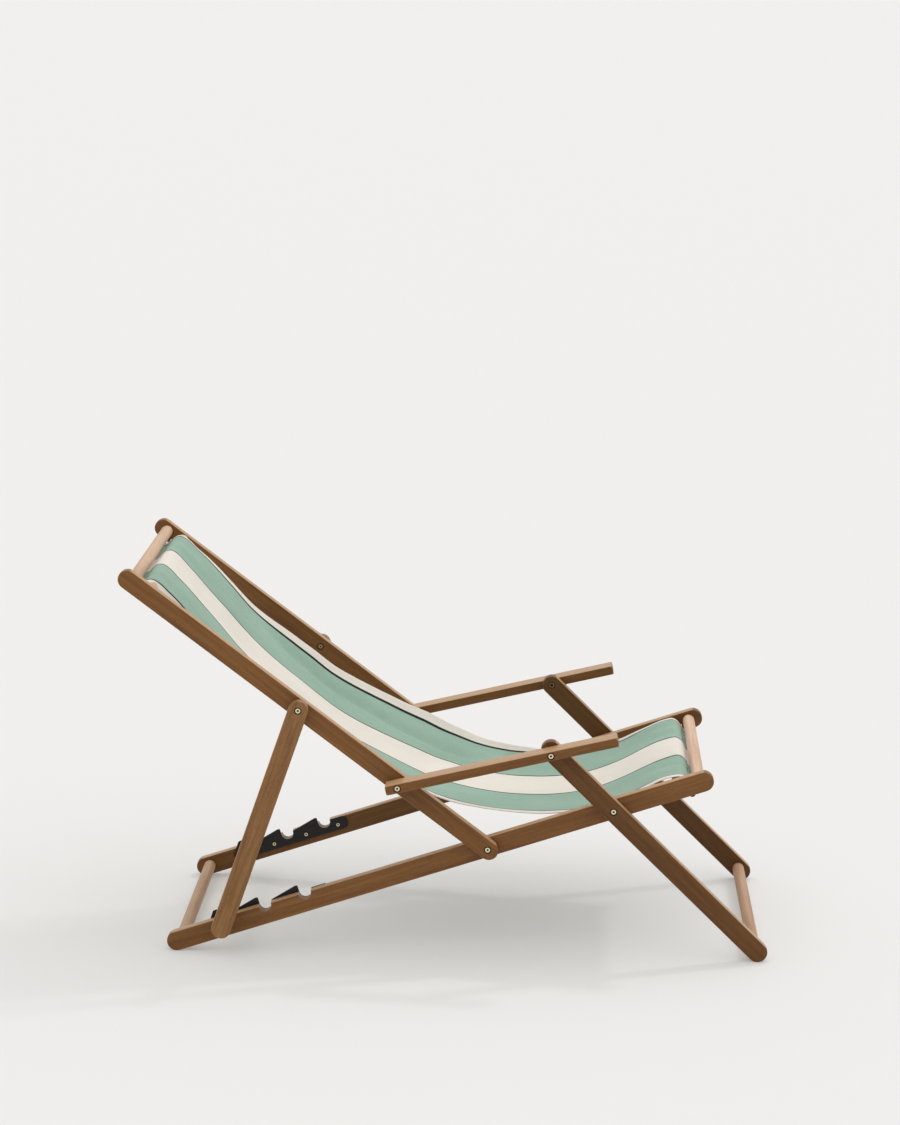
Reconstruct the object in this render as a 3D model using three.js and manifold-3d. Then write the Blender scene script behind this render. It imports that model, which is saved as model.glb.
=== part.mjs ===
// A folding wooden deck chair with armrests and a canvas sling, in millimetres.
// X points to the front of the seat, +Y to the sitter's left, +Z up.
// The chair stands open on the floor, its prop in the rearmost notch (most reclined).
//
// Per side, three layers of wood lie next to each other, from the inside out:
//   1 seat rail, 2 back rail and front leg, 3 prop strut and armrest.
// All pivots have horizontal bolts along Y, so everything folds flat in those layers.

import * as THREE from "three";
import { mergeVertices } from "three/addons/utils/BufferGeometryUtils.js";
import Module from "manifold-3d";

const wasm = await Module();
wasm.setup();

// ---- driving dimensions ---------------------------------------------------

const GAP = 0.3;                 // clearance between touching pieces

// layers across the width, measured from the middle
const INNER_Y = 250;             // inner face of the seat rails
const WOOD = 20;                 // thickness of every rail, leg and strut
const LAYER_GAP = 0.8;           // running gap between neighbouring layers
const ARM_WIDTH = 42;            // armrest board, measured along Y
const ARM_THICK = 19;

// rail widths in side view; all ends are fully round
const SEAT_W = 40;
const BACK_W = 38;
const LEG_W = 40;
const STRUT_W = 40;
const EDGE = 1.2;                // chamfer on the long edges

// distances along the seat rail, from the centre of its rear end
const SEAT_LEN = 1116;
const S_PIVOT_BACK = 663;
const S_PIVOT_LEG = 927;
const S_FRONT_SLING_RUNG = 1066;
const NOTCH_S = [110, 195, 280]; // centre of the prop rung in each notch
const RUNG_INSET = 10;           // end rungs sit this far inside the rails' end arcs

// distances along the back rail, from its pivot on the seat rail
const BACK_LEN = 899;
const BACK_TAIL = 3;             // how far the end arc's centre passes the pivot
const B_PIVOT_PROP = 474;
const B_PIVOT_ARM = 225;
const B_SLING_RUNG = 850;

// the other members of the linkage, between pivots
const STRUT_LEN = 468;           // prop pivot to prop rung
const STRUT_TAIL = 12;           // end arc's centre beyond the prop rung
const LEG_UP = 177;              // leg pivot up to the armrest pivot
const LEG_DOWN = 411;            // leg pivot down to the foot's end arc
const ARM_LEN = 312;             // between the armrest's two pivots
const ARM_REAR = 24;             // armrest behind its rear pivot
const ARM_FRONT = 136;           // armrest ahead of its front pivot
const ARM_EDGE = 3;              // rounding of the armrest's corners in side view

// rungs, the loose rods in the sling's end sleeves
const RUNG_R = 12.5;
const PROP_RUNG_R = 12;
const TENON_R = 8;
const TENON_LEN = 12;
const SLING_RUNG_RISE = 5;       // the sling rungs lie a little above the rail's middle
const ROD_R = 5.5;
const CAP_R = 6.8;
const CAP_LEN = 14;
const ROD_DROP = 22.5;           // below the rail's middle line
const ROD_REACH = 246;           // half length with its caps

// notches and the metal racks on the inner faces of the seat rails
const RUNG_RISE = 18;            // prop rung's centre above the rail's middle line
const NOTCH_BACK = PROP_RUNG_R + 0.5;
const NOTCH_FRONT = PROP_RUNG_R + 1.5;
const RACK_T = 2.5;
const RACK_LOW = -7;             // lower edge, from the rail's middle line
const TOOTH_RISE = 13.5;         // tooth tips above the rail's top edge
const TOOTH_TIP = 5;
const RACK_REAR = 42;            // behind the first notch
const RACK_FRONT = 50;           // ahead of the last notch
const RACK_EDGE = 0.5;           // the plate's edge ahead of a notch, above the rail's top edge
const RACK_TAIL = 8;             // length of the plate's sloping corners
const RACK_CORNER = 3;           // the steep part of a cut corner
const TOOTH_BACK = 6;            // run of a tooth's blunt rear slope on the first tooth
const RACK_SCREWS = [87.5, 161, 234.5, 308];
const RACK_SCREW_RISE = 4.5;
const SCREW_R = 1.6;
const SCREW_DEPTH = 11;
const SCREW_HEAD_R = 4;
const SCREW_HEAD_T = 1.2;
const SCREW_RECESS_R = 1.9;
const SCREW_FLOOR = 0.3;         // metal left under the recess

// pivot bolts, with heads and nuts sunk below the wood
const BOLT_R = 3.1;
const BORE_R = 3.5;
const HEAD_R = 5.7;
const HEAD_T = 2;
const SINK = 0.5;                // heads and nuts lie this far below the surface
const SOCKET_R = 2.5;            // corner radius of the hexagonal socket
const SOCKET_DEPTH = 1.6;
const NUT_R = 6.2;               // corner radius of the hexagonal nut
const NUT_T = 4.5;
const POCKET_R = 6.9;            // round pocket around a head or nut

// canvas sling: centre line in side view, hung between the two sling rungs
const SLING_HALF = 238;
const SLING_T = 2;
const SLING_ARCH_R = RUNG_R + 1.2 + SLING_T / 2; // its bend over a sling rung
const SLING_ARCH_TURNS = [130, 105, 80, 55, 30, 5]; // degrees round the rung, from the sitter's side
const TAIL_AHEAD = { back: 1, seat: 2 };          // the canvas below the arch, past its end
const ROD_AHEAD = { back: 4, seat: 5 };           // the rod in the sleeve, past the arch's end
// sag of the back half as [distance up the back rail, height off its middle line]
const BACK_SAG = [[80, 24], [120, 10], [190, -7], [300, -26], [420, -37], [540, -34], [660, -20],
  [770, 2]];
// sag of the seat half as [distance along the seat rail, height off its middle line]
const SEAT_SAG = [[668, 63], [700, 48], [740, 34], [800, 17], [870, 7], [940, 6], [1000, 13]];

// ---- plane geometry of the open chair ----------------------------------------

const along = (from, angle, d, n = 0) => new THREE.Vector2(
  from.x + d * Math.cos(angle) - n * Math.sin(angle),
  from.y + d * Math.sin(angle) + n * Math.cos(angle));
const angleOf = (a, b) => Math.atan2(b.y - a.y, b.x - a.x);

// meeting point of two circles, on the left (+1) or right (-1) of the line a-b
function meet(a, ra, b, rb, side) {
  const d = a.distanceTo(b);
  const turn = Math.acos((ra * ra + d * d - rb * rb) / (2 * ra * d));
  return along(a, angleOf(a, b) + side * turn, ra);
}

// first in the seat rail's own frame, with its middle line along x
const railFrame = {};
railFrame.rear = new THREE.Vector2(0, 0);
railFrame.pivotBack = new THREE.Vector2(S_PIVOT_BACK, 0);
railFrame.pivotLeg = new THREE.Vector2(S_PIVOT_LEG, 0);
railFrame.notches = NOTCH_S.map((s) => new THREE.Vector2(s, RUNG_RISE));
railFrame.pivotProp = meet(railFrame.pivotBack, B_PIVOT_PROP, railFrame.notches[0], STRUT_LEN, -1);
const backAngleInRail = angleOf(railFrame.pivotBack, railFrame.pivotProp);
railFrame.pivotArmRear = along(railFrame.pivotBack, backAngleInRail, B_PIVOT_ARM);
railFrame.pivotArmFront = meet(railFrame.pivotArmRear, ARM_LEN, railFrame.pivotLeg, LEG_UP, 1);
const legAngleInRail = angleOf(railFrame.pivotArmFront, railFrame.pivotLeg);
railFrame.foot = along(railFrame.pivotLeg, legAngleInRail, LEG_DOWN);

// then turned so that the rear end and the foot both stand on the floor
const tilt = -angleOf(railFrame.rear, railFrame.foot);
const toWorld = (p) => along(new THREE.Vector2(0, SEAT_W / 2), tilt, p.x, p.y);
const backAngle = backAngleInRail + tilt;
const legAngle = legAngleInRail + tilt;
const P = {};
for (const [name, p] of Object.entries(railFrame)) {
  if (name !== "notches") P[name] = toWorld(p);
}
P.propRung = toWorld(railFrame.notches[0]);
P.backTop = along(P.pivotBack, backAngle, BACK_LEN);
const strutAngle = angleOf(P.pivotProp, P.propRung);
const armAngle = angleOf(P.pivotArmRear, P.pivotArmFront);

// the origin is on the floor, under the middle of the chair's length
const MIDDLE_X = (P.backTop.x - BACK_W / 2 + P.foot.x + LEG_W / 2) / 2;

// ---- layers ---------------------------------------------------------------------

const LAYER = [0, 1, 2].map((i) => INNER_Y + i * (WOOD + LAYER_GAP));
const span = (i, width = WOOD) => [LAYER[i], LAYER[i] + width];

// ---- materials ------------------------------------------------------------------

const paint = (color, roughness, metalness = 0) => () =>
  new THREE.MeshStandardMaterial({ color, roughness, metalness });
const darkWood = paint(0x7a5235, 0.55);
const paleWood = paint(0xcaaa92, 0.6);
const canvas = paint(0xa5c0b0, 0.95);
const blackMetal = paint(0x15161a, 0.45, 0.6);
const brassPlate = paint(0xcfc39a, 0.35, 1);
const darkSteel = paint(0x4a443c, 0.45, 1);
const blackPlastic = paint(0x141414, 0.5);

// ---- solids -----------------------------------------------------------------------

const chair = new THREE.Group();

function toSolid(geometry) {
  const bare = geometry.clone();
  bare.deleteAttribute("normal");
  bare.deleteAttribute("uv");
  const merged = mergeVertices(bare, 1e-4);
  return new wasm.Manifold(new wasm.Mesh({
    numProp: 3,
    vertProperties: new Float32Array(merged.attributes.position.array),
    triVerts: new Uint32Array(merged.index.array),
  }));
}

function toGeometry(solid) {
  const mesh = solid.getMesh();
  const geometry = new THREE.BufferGeometry();
  const positions = new Float32Array(mesh.vertProperties);
  geometry.setAttribute("position", new THREE.BufferAttribute(positions, 3));
  geometry.setIndex(new THREE.BufferAttribute(new Uint32Array(mesh.triVerts), 1));
  geometry.computeVertexNormals();
  return geometry;
}

const cutFrom = (geometry, cutters) =>
  toGeometry(cutters.reduce((solid, cutter) => solid.subtract(toSolid(cutter)), toSolid(geometry)));

function add(name, geometry, material) {
  const mesh = new THREE.Mesh(geometry, material());
  mesh.name = name;
  chair.add(mesh);
}

// side-view outline pushed through y0..y1, with an optional edge chamfer
function slab(shape, [y0, y1], chamfer = 0, curveSegments = 6) {
  const geometry = new THREE.ExtrudeGeometry(shape, {
    depth: y1 - y0 - 2 * chamfer,
    bevelEnabled: chamfer > 0,
    bevelThickness: chamfer,
    bevelSize: chamfer,
    bevelOffset: -chamfer,
    bevelSegments: 1,
    curveSegments,
  });
  return geometry.rotateX(Math.PI / 2).translate(0, y1 - chamfer, 0);
}

// the same layer on the left (+1) or mirrored to the right (-1)
const sideSpan = (side, [y0, y1]) => (side > 0 ? [y0, y1] : [-y1, -y0]);

// turned round about Y, from y0 to y1, centred on the side-view point p
function roundBar(p, radius, [y0, y1], segments = 16) {
  const geometry = new THREE.CylinderGeometry(radius, radius, y1 - y0, segments);
  return geometry.translate(p.x, (y0 + y1) / 2, p.y);
}

// a bar with fully round ends between two side-view points
function stadium(a, b, width) {
  const r = width / 2;
  const t = angleOf(a, b);
  const shape = new THREE.Shape();
  shape.absarc(b.x, b.y, r, t - Math.PI / 2, t + Math.PI / 2, false);
  shape.absarc(a.x, a.y, r, t + Math.PI / 2, t + (3 * Math.PI) / 2, false);
  shape.closePath();
  return shape;
}

// rectangle with small round corners, along a line in side view
function board(from, angle, start, end, width, corner) {
  const shape = new THREE.Shape();
  const h = width / 2;
  const corners = [[end, -h, -90], [end, h, 0], [start, h, 90], [start, -h, 180]];
  for (const [d, n, turn] of corners) {
    const inward = d > start ? -corner : corner;
    const c = along(from, angle, d + inward, n - corner * Math.sign(n));
    const a0 = angle + THREE.MathUtils.degToRad(turn);
    shape.absarc(c.x, c.y, corner, a0, a0 + Math.PI / 2, false);
  }
  shape.closePath();
  return shape;
}

// ---- pivots: bores and pockets in the wood, bolts and nuts ---------------------------

// every bolt enters from outside; its nut is on the inner face of the inner layer
const PIVOTS = {
  back: { at: P.pivotBack, outer: span(1), inner: span(0) },
  leg: { at: P.pivotLeg, outer: span(1), inner: span(0) },
  prop: { at: P.pivotProp, outer: span(2), inner: span(1) },
  arm_rear: { at: P.pivotArmRear, outer: span(2, ARM_WIDTH), inner: span(1) },
  arm_front: { at: P.pivotArmFront, outer: span(2, ARM_WIDTH), inner: span(1) },
};
const POCKET_HEAD = HEAD_T + SINK + GAP;
const POCKET_NUT = NUT_T + SINK + GAP;

function boreCutters(pivot, side, role) {
  const [y0, y1] = pivot[role];
  const pocket = role === "outer" ? [y1 - POCKET_HEAD, y1 + 1] : [y0 - 1, y0 + POCKET_NUT];
  return [
    roundBar(pivot.at, BORE_R, sideSpan(side, [y0 - 1, y1 + 1]), 12),
    roundBar(pivot.at, POCKET_R, sideSpan(side, pocket)),
  ];
}

// the armrest's front pivot is left open: its bolt ends inside the armrest and its nut
// stays in the leg, so that armrest and leg each hang from one hinge only
function addBolt(name, pivot, side, suffix, through) {
  const headFace = pivot.outer[1] - SINK;
  const shankEnd = through ? pivot.inner[0] + SINK : pivot.outer[0] + GAP;
  const head = roundBar(pivot.at, HEAD_R, sideSpan(side, [headFace - HEAD_T, headFace]));
  const shank = roundBar(pivot.at, BOLT_R, sideSpan(side, [shankEnd, headFace - HEAD_T / 2]), 10);
  const socket = roundBar(pivot.at, SOCKET_R,
    sideSpan(side, [headFace - SOCKET_DEPTH, headFace + 1]), 6);
  const bolt = toSolid(head).add(toSolid(shank)).subtract(toSolid(socket));
  add(`bolt_${name}_${suffix}`, toGeometry(bolt), brassPlate);

  const nutFace = pivot.inner[0] + SINK;
  const nut = roundBar(pivot.at, NUT_R, sideSpan(side, [nutFace, nutFace + NUT_T]), 6);
  const hole = roundBar(pivot.at, BORE_R, sideSpan(side, [nutFace - 1, nutFace + NUT_T + 1]), 10);
  add(`nut_${name}_${suffix}`, cutFrom(nut, [hole]), darkSteel);
}

// ---- rungs ------------------------------------------------------------------------------

// turned bar between two inner faces, with a thinner tenon into each rail
function addRung(name, p, radius, face) {
  const half = face - GAP;
  const end = half + TENON_LEN;
  const profile = [[0, -end], [TENON_R, -end], [TENON_R, -half], [radius, -half],
    [radius, half], [TENON_R, half], [TENON_R, end], [0, end]];
  const geometry = new THREE.LatheGeometry(profile.map(([r, y]) => new THREE.Vector2(r, y)), 20);
  add(name, geometry.translate(p.x, 0, p.y), paleWood);
}

// blind hole for a tenon in the rail whose inner face is at `face`
const tenonHole = (p, side, face) =>
  roundBar(p, TENON_R + GAP, sideSpan(side, [face - 1, face + TENON_LEN + GAP]));

// ---- where the rungs and rods are --------------------------------------------------------

const onSeat = (s, n = 0) => toWorld(new THREE.Vector2(s, n));
const onBack = (s, n = 0) => along(P.pivotBack, backAngle, s, -n); // n towards the sitter
const RUNGS = {
  rearRung: onSeat(RUNG_INSET),
  frontRung: onSeat(SEAT_LEN - RUNG_INSET),
  seatSlingRung: onSeat(S_FRONT_SLING_RUNG, SLING_RUNG_RISE),
  topRung: onBack(BACK_LEN - RUNG_INSET),
  backSlingRung: onBack(B_SLING_RUNG, SLING_RUNG_RISE),
  footRung: along(P.foot, legAngle, -RUNG_INSET),
};

// ---- seat rails, racks and their screws ---------------------------------------------------

// U-shaped opening around the prop rung in one notch, open upwards
function notchShape(s, top) {
  const shape = new THREE.Shape();
  const r = (NOTCH_BACK + NOTCH_FRONT) / 2;
  const mid = s + (NOTCH_FRONT - NOTCH_BACK) / 2;
  const c = onSeat(mid, RUNG_RISE + r - NOTCH_BACK);
  const [backTop, frontTop] = [onSeat(mid - r, top), onSeat(mid + r, top)];
  shape.moveTo(frontTop.x, frontTop.y);
  shape.lineTo(backTop.x, backTop.y);
  shape.absarc(c.x, c.y, r, tilt + Math.PI, tilt + 2 * Math.PI, false);
  shape.closePath();
  return shape;
}

// saw-toothed plate: each tooth rises gently towards the front and drops into its notch
function rackShape() {
  const top = SEAT_W / 2;
  const edge = top + RACK_EDGE;
  const tip = top + TOOTH_RISE;
  const low = RACK_LOW + RACK_TAIL;
  const first = NOTCH_S[0] - RACK_REAR;
  const last = NOTCH_S.at(-1) + RACK_FRONT;
  const rearSlope = NOTCH_S[0] - NOTCH_BACK - TOOTH_TIP - TOOTH_BACK;
  const outline = [[first, low], [first, RACK_TAIL], [rearSlope, tip - 1]];
  for (const s of NOTCH_S) {
    const drop = s - NOTCH_BACK;
    outline.push([drop - TOOTH_TIP, tip], [drop, tip - 1], [drop + 1, top], [s + NOTCH_FRONT, edge]);
  }
  outline.push([last - RACK_TAIL, edge], [last - RACK_CORNER, edge - RACK_CORNER]);
  outline.push([last, edge - RACK_TAIL], [last, low]);
  outline.push([last - RACK_CORNER, RACK_LOW + RACK_CORNER], [last - RACK_TAIL, RACK_LOW]);
  outline.push([first + RACK_TAIL, RACK_LOW], [first + RACK_CORNER, RACK_LOW + RACK_CORNER]);
  return new THREE.Shape(outline.map(([s, n]) => onSeat(s, n)));
}

const screwPoints = RACK_SCREWS.map((s) => onSeat(s, RACK_SCREW_RISE));
const rackSpan = [INNER_Y - GAP - RACK_T, INNER_Y - GAP];

// hole for a rack screw through a layer
const screwHole = (p, side, [y0, y1]) => roundBar(p, SCREW_R + GAP, sideSpan(side, [y0, y1]), 8);

function addSeatSide(side, suffix) {
  const rail = slab(stadium(P.rear, onSeat(SEAT_LEN), SEAT_W), sideSpan(side, span(0)), EDGE);
  const through = (p0, p1) => sideSpan(side, [p0 - 1, p1 + 1]);
  const cutters = [
    ...boreCutters(PIVOTS.back, side, "inner"),
    ...boreCutters(PIVOTS.leg, side, "inner"),
    ...[RUNGS.rearRung, RUNGS.frontRung, RUNGS.seatSlingRung].map((p) => tenonHole(p, side, INNER_Y)),
    ...NOTCH_S.map((s) => slab(notchShape(s, SEAT_W), through(...span(0)))),
    ...screwPoints.map((p) => screwHole(p, side, [INNER_Y - 1, INNER_Y + SCREW_DEPTH + GAP])),
  ];
  add(`seat_rail_${suffix}`, cutFrom(rail, cutters), darkWood);

  const plate = slab(rackShape(), sideSpan(side, rackSpan));
  const plateCuts = [
    ...NOTCH_S.map((s) => slab(notchShape(s, 2 * SEAT_W), through(...rackSpan))),
    ...screwPoints.map((p) => screwHole(p, side, [rackSpan[0] - 1, rackSpan[1] + 1])),
  ];
  add(`rack_${suffix}`, cutFrom(plate, plateCuts), blackMetal);

  screwPoints.forEach((p, i) => {
    const face = rackSpan[0] - GAP / 3;
    const top = face - SCREW_HEAD_T;
    const head = roundBar(p, SCREW_HEAD_R, sideSpan(side, [top, face]), 14);
    const shank = roundBar(p, SCREW_R, sideSpan(side, [face - GAP, INNER_Y + SCREW_DEPTH]), 6);
    const recess = roundBar(p, SCREW_RECESS_R, sideSpan(side, [top - 1, face - SCREW_FLOOR]), 6);
    const screw = toSolid(head).add(toSolid(shank)).subtract(toSolid(recess));
    add(`rack_screw_${suffix}_${i + 1}`, toGeometry(screw), brassPlate);
  });
}

// ---- back rails, legs, struts and armrests --------------------------------------------------

function addBackSide(side, suffix) {
  const rail = slab(stadium(onBack(-BACK_TAIL), P.backTop, BACK_W), sideSpan(side, span(1)), EDGE);
  add(`back_rail_${suffix}`, cutFrom(rail, [
    ...boreCutters(PIVOTS.back, side, "outer"),
    ...boreCutters(PIVOTS.prop, side, "inner"),
    ...boreCutters(PIVOTS.arm_rear, side, "inner"),
    ...[RUNGS.topRung, RUNGS.backSlingRung].map((p) => tenonHole(p, side, LAYER[1])),
  ]), darkWood);
}

function addLeg(side, suffix) {
  const leg = slab(stadium(P.pivotArmFront, P.foot, LEG_W), sideSpan(side, span(1)), EDGE);
  add(`leg_${suffix}`, cutFrom(leg, [
    ...boreCutters(PIVOTS.leg, side, "outer"),
    ...boreCutters(PIVOTS.arm_front, side, "inner"),
    tenonHole(RUNGS.footRung, side, LAYER[1]),
  ]), darkWood);
}

function addStrut(side, suffix) {
  const end = along(P.propRung, strutAngle, STRUT_TAIL);
  const strut = slab(stadium(P.pivotProp, end, STRUT_W), sideSpan(side, span(2)), EDGE);
  add(`prop_strut_${suffix}`, cutFrom(strut, [
    ...boreCutters(PIVOTS.prop, side, "outer"),
    tenonHole(P.propRung, side, LAYER[2]),
  ]), darkWood);
}

function addArmrest(side, suffix) {
  const shape = board(P.pivotArmRear, armAngle, -ARM_REAR, ARM_LEN + ARM_FRONT, ARM_THICK, ARM_EDGE);
  const arm = slab(shape, sideSpan(side, span(2, ARM_WIDTH)), EDGE, 2);
  add(`armrest_${suffix}`, cutFrom(arm, [
    ...boreCutters(PIVOTS.arm_rear, side, "outer"),
    ...boreCutters(PIVOTS.arm_front, side, "outer"),
  ]), darkWood);
}

// ---- sling and rods ----------------------------------------------------------------------------

// a strip of even thickness along a centre line, pushed through the sling's width
function addSlingHalf(name, centres) {
  const points = centres.map((p) => new THREE.Vector3(p.x, p.y, 0));
  const line = new THREE.CatmullRomCurve3(points, false, "centripetal");
  const count = 2 * (centres.length - 1);
  const edge = (offset) => Array.from({ length: count + 1 }, (_, i) => {
    const p = line.getPoint(i / count);
    const t = line.getTangent(i / count);
    return new THREE.Vector2(p.x - t.y * offset, p.y + t.x * offset);
  });
  const outline = [...edge(SLING_T / 2), ...edge(-SLING_T / 2).reverse()];
  add(name, slab(new THREE.Shape(outline), [-SLING_HALF, SLING_HALF]), canvas);
}

// the canvas passes over the sling rung and down between the two rungs to the rod
function archOver(place, s) {
  return SLING_ARCH_TURNS.map(THREE.MathUtils.degToRad).map((a) => place(
    s + SLING_ARCH_R * Math.cos(a),
    SLING_RUNG_RISE + SLING_ARCH_R * Math.sin(a)));
}
const TAIL_END = -ROD_DROP + CAP_R + SLING_T;

function addSling() {
  addSlingHalf("sling_back", [
    ...BACK_SAG.map(([s, n]) => onBack(s, n)),
    ...archOver(onBack, B_SLING_RUNG),
    onBack(B_SLING_RUNG + SLING_ARCH_R + TAIL_AHEAD.back, TAIL_END),
  ]);
  addSlingHalf("sling_seat", [
    ...SEAT_SAG.map(([s, n]) => onSeat(s, n)),
    ...archOver(onSeat, S_FRONT_SLING_RUNG),
    onSeat(S_FRONT_SLING_RUNG + SLING_ARCH_R + TAIL_AHEAD.seat, TAIL_END),
  ]);
}

function addRod(name, p) {
  const rodEnd = ROD_REACH - CAP_LEN;
  add(`rod_${name}`, roundBar(p, ROD_R, [-rodEnd + GAP, rodEnd - GAP]), darkSteel);
  for (const [side, suffix] of [[1, "l"], [-1, "r"]]) {
    const cap = roundBar(p, CAP_R, sideSpan(side, [rodEnd, ROD_REACH]));
    add(`rod_cap_${name}_${suffix}`, cap, blackPlastic);
  }
}

// ---- assembly ------------------------------------------------------------------------------------

for (const [side, suffix] of [[1, "l"], [-1, "r"]]) {
  addSeatSide(side, suffix);
  addBackSide(side, suffix);
  addLeg(side, suffix);
  addStrut(side, suffix);
  addArmrest(side, suffix);
  for (const [name, pivot] of Object.entries(PIVOTS)) {
    addBolt(name, pivot, side, suffix, name !== "arm_front");
  }
}
addRung("rung_rear", RUNGS.rearRung, RUNG_R, INNER_Y);
addRung("rung_front", RUNGS.frontRung, RUNG_R, INNER_Y);
addRung("rung_seat_sling", RUNGS.seatSlingRung, RUNG_R, INNER_Y);
addRung("rung_top", RUNGS.topRung, RUNG_R, LAYER[1]);
addRung("rung_back_sling", RUNGS.backSlingRung, RUNG_R, LAYER[1]);
addRung("rung_foot", RUNGS.footRung, RUNG_R, LAYER[1]);
addRung("rung_prop", P.propRung, PROP_RUNG_R, LAYER[2]);
addSling();
addRod("back", onBack(B_SLING_RUNG + SLING_ARCH_R + ROD_AHEAD.back, -ROD_DROP));
addRod("seat", onSeat(S_FRONT_SLING_RUNG + SLING_ARCH_R + ROD_AHEAD.seat, -ROD_DROP));

chair.children.forEach((mesh) => mesh.geometry.translate(-MIDDLE_X, 0, 0));

export default chair;
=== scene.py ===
# %% [markdown]
# # A folding deck chair with a canvas sling
# The real chair is a frame of dark stained hardwood boards, pale turned rungs between them, and one
# long piece of striped canvas that hangs from a loose rod at each end. The frame and its hinges come
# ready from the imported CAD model. This lesson adds what a CAD model lacks: the hanging cloth with its
# hems and stitches, turned rungs, and a worked surface on every piece.

# %% Load the frame
import math

import bpy
import numpy as np
from mathutils import Matrix, Vector


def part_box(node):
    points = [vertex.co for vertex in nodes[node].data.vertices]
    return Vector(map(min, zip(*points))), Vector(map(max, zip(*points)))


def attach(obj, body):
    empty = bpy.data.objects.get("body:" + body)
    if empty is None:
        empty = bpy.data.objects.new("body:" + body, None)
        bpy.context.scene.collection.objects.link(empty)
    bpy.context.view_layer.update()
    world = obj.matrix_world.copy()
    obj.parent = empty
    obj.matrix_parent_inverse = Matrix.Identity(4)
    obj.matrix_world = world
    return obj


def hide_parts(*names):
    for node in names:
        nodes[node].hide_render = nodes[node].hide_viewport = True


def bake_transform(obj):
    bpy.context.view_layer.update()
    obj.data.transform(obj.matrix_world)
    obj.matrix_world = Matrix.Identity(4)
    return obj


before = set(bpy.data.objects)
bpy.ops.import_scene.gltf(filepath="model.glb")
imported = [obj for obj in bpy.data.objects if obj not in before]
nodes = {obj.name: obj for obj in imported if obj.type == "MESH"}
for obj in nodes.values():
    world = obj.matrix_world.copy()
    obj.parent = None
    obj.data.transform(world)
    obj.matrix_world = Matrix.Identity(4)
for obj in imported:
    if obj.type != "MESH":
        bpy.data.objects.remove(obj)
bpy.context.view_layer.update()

MM = 0.001
SIDES = ("l", "r")


def centre(node):
    """The middle of a CAD node's box at rest, in metres."""
    low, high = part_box(node)
    return (np.array(low) + np.array(high)) / 2


# %% [markdown]
# ## Camera
# A long lens far away keeps the boards' lines nearly parallel, as in a drawing. The camera
# stands a little above the armrests, in front of the chair's right side, and looks slightly down.
# Its three axes are worked out from yaw, pitch and roll, so that the numbers can be read and changed.

# %% The camera
LENS, SENSOR = 97.455, 36.0
EYE = (0.21256, -6.15924, 1.96900)
YAW, PITCH, ROLL = (math.radians(a) for a in (-1.995, 11.141, -0.216))

ahead = Vector((math.sin(YAW) * math.cos(PITCH), math.cos(YAW) * math.cos(PITCH), -math.sin(PITCH)))
level = Vector((math.cos(YAW), -math.sin(YAW), 0))
below = ahead.cross(level)
right = level * math.cos(ROLL) + below * math.sin(ROLL)
down = -level * math.sin(ROLL) + below * math.cos(ROLL)

lens = bpy.data.cameras.new("camera")
lens.lens, lens.sensor_width, lens.clip_end = LENS, SENSOR, 2000
camera = bpy.data.objects.new("camera", lens)
bpy.context.scene.collection.objects.link(camera)
camera.matrix_world = Matrix.Translation(EYE) @ Matrix((right, -down, -ahead)).transposed().to_4x4()
bpy.context.scene.camera = camera
print("camera looks", round(math.degrees(PITCH), 1), "degrees down from", EYE)

# %% [markdown]
# ## Shader sums that read as sums
# A material is a graph of nodes. Written out link by link, even a small sum takes ten lines. This
# class wraps one socket, so `1 - mask` or `fibre * 0.4 + figure` adds the Math nodes by itself, and
# `add` makes any other node: first its settings, then what goes into its sockets.

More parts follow.
